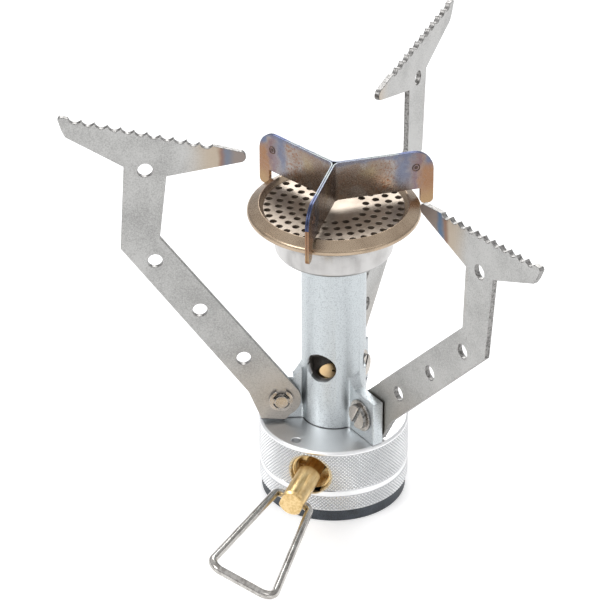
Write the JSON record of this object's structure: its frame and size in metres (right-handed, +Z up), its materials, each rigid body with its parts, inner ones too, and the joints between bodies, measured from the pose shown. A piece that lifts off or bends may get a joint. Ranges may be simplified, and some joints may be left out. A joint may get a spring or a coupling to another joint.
{
  "type": "canister stove",
  "caption": "Folding gas stove that screws onto a canister: knurled base with a side valve and wire handle, burner head with bladed windshield, and hinged toothed pot supports.",
  "frame": {"origin": "on the burner axis, in the plane of the base ring that rests on the canister", "axes": "+Z up along the burner, -Y along the valve stem towards the user, +X to the right seen from the valve stem"},
  "size_m": [0.1191, 0.1452, 0.1046],
  "materials": {
    "knurled_aluminium": "turned and diamond-knurled, bare",
    "dark_ring": "smooth blue-black glass-filled nylon",
    "brass": "turned and milled, bare",
    "seal_rubber": "smooth black nitrile",
    "sintered_bronze": "porous sintered plug",
    "cast_column": "die cast, bright plated, fine speckle",
    "head_steel": "pressed stainless sheet, satin",
    "screen_wire": "fine woven wire, darkened",
    "flame_plate_steel": "pierced stainless sheet, straw coloured by heat",
    "rim_steel": "rolled stainless, brushed round, straw coloured by heat",
    "heat_tinted_steel": "stainless sheet with brown, gold and blue heat colours",
    "arm_steel": "blanked stainless plate, tumbled, heat tinted at the inner tips",
    "nickel_hardware": "nickel plated",
    "handle_wire": "drawn stainless wire, bright"
  },
  "bodies": {
    "stove": {"base_body": "knurled_aluminium", "base_ring": "dark_ring", "valve_block": "brass", "canister_seal": "seal_rubber", "depressor_pin": "brass", "inlet_filter": "sintered_bronze", "jet": "brass", "burner_tube": "cast_column", "burner_cup": "head_steel", "mixing_screen": "screen_wire", "flame_plate": "flame_plate_steel", "burner_rim": "rim_steel", "gland_nut": "brass", "windshield_vane_1": "heat_tinted_steel", "pivot_screw_1": "nickel_hardware", "pivot_washer_1": "nickel_hardware", "e_clip_1": "nickel_hardware", "windshield_vane_2": "heat_tinted_steel", "pivot_screw_2": "nickel_hardware", "pivot_washer_2": "nickel_hardware", "e_clip_2": "nickel_hardware", "windshield_vane_3": "heat_tinted_steel", "pivot_screw_3": "nickel_hardware", "pivot_washer_3": "nickel_hardware", "e_clip_3": "nickel_hardware"},
    "support_left": {"pot_support_1": "arm_steel"},
    "support_right": {"pot_support_2": "arm_steel"},
    "support_back": {"pot_support_3": "arm_steel"},
    "valve_feed": {"spindle_seal": "seal_rubber"},
    "valve_stem": {"valve_spindle": "brass"},
    "handle": {"wire_handle": "handle_wire"}
  },
  "joints": [
    {"name": "support_left_fold", "type": "hinge", "parent": "stove", "child": "support_left", "pos_m": [-0.01174, -0.0051, 0.0263], "axis": [-0.3987, 0.9171, 0], "range_deg": [-14.3, 20.7]},
    {"name": "support_right_fold", "type": "hinge", "parent": "stove", "child": "support_right", "pos_m": [0.01029, -0.00761, 0.0263], "axis": [-0.5948, -0.8039, 0], "range_deg": [-5.3, 29.7]},
    {"name": "support_back_fold", "type": "hinge", "parent": "stove", "child": "support_back", "pos_m": [0.00145, 0.01272, 0.0263], "axis": [0.9936, -0.1132, 0], "range_deg": [-6.5, 28.5]},
    {"name": "valve_feed", "type": "slide", "parent": "stove", "child": "valve_feed", "axis": [0, -1, 0], "range_m": [0, 0.000876]},
    {"name": "valve_turn", "type": "hinge", "parent": "valve_feed", "child": "valve_stem", "pos_m": [0, -0.02, 0.01305], "axis": [0, -1, 0], "range_deg": [0, 630]},
    {"name": "handle_swing", "type": "hinge", "parent": "valve_stem", "child": "handle", "pos_m": [0, -0.02877, 0.01305], "axis": [0.9278, 0, -0.373], "range_deg": [-81.6, 98.4]}
  ],
  "couplings": [
    {"joint": "valve_feed", "follows": "valve_turn", "m_per_rad": 0.000079577}
  ]
}
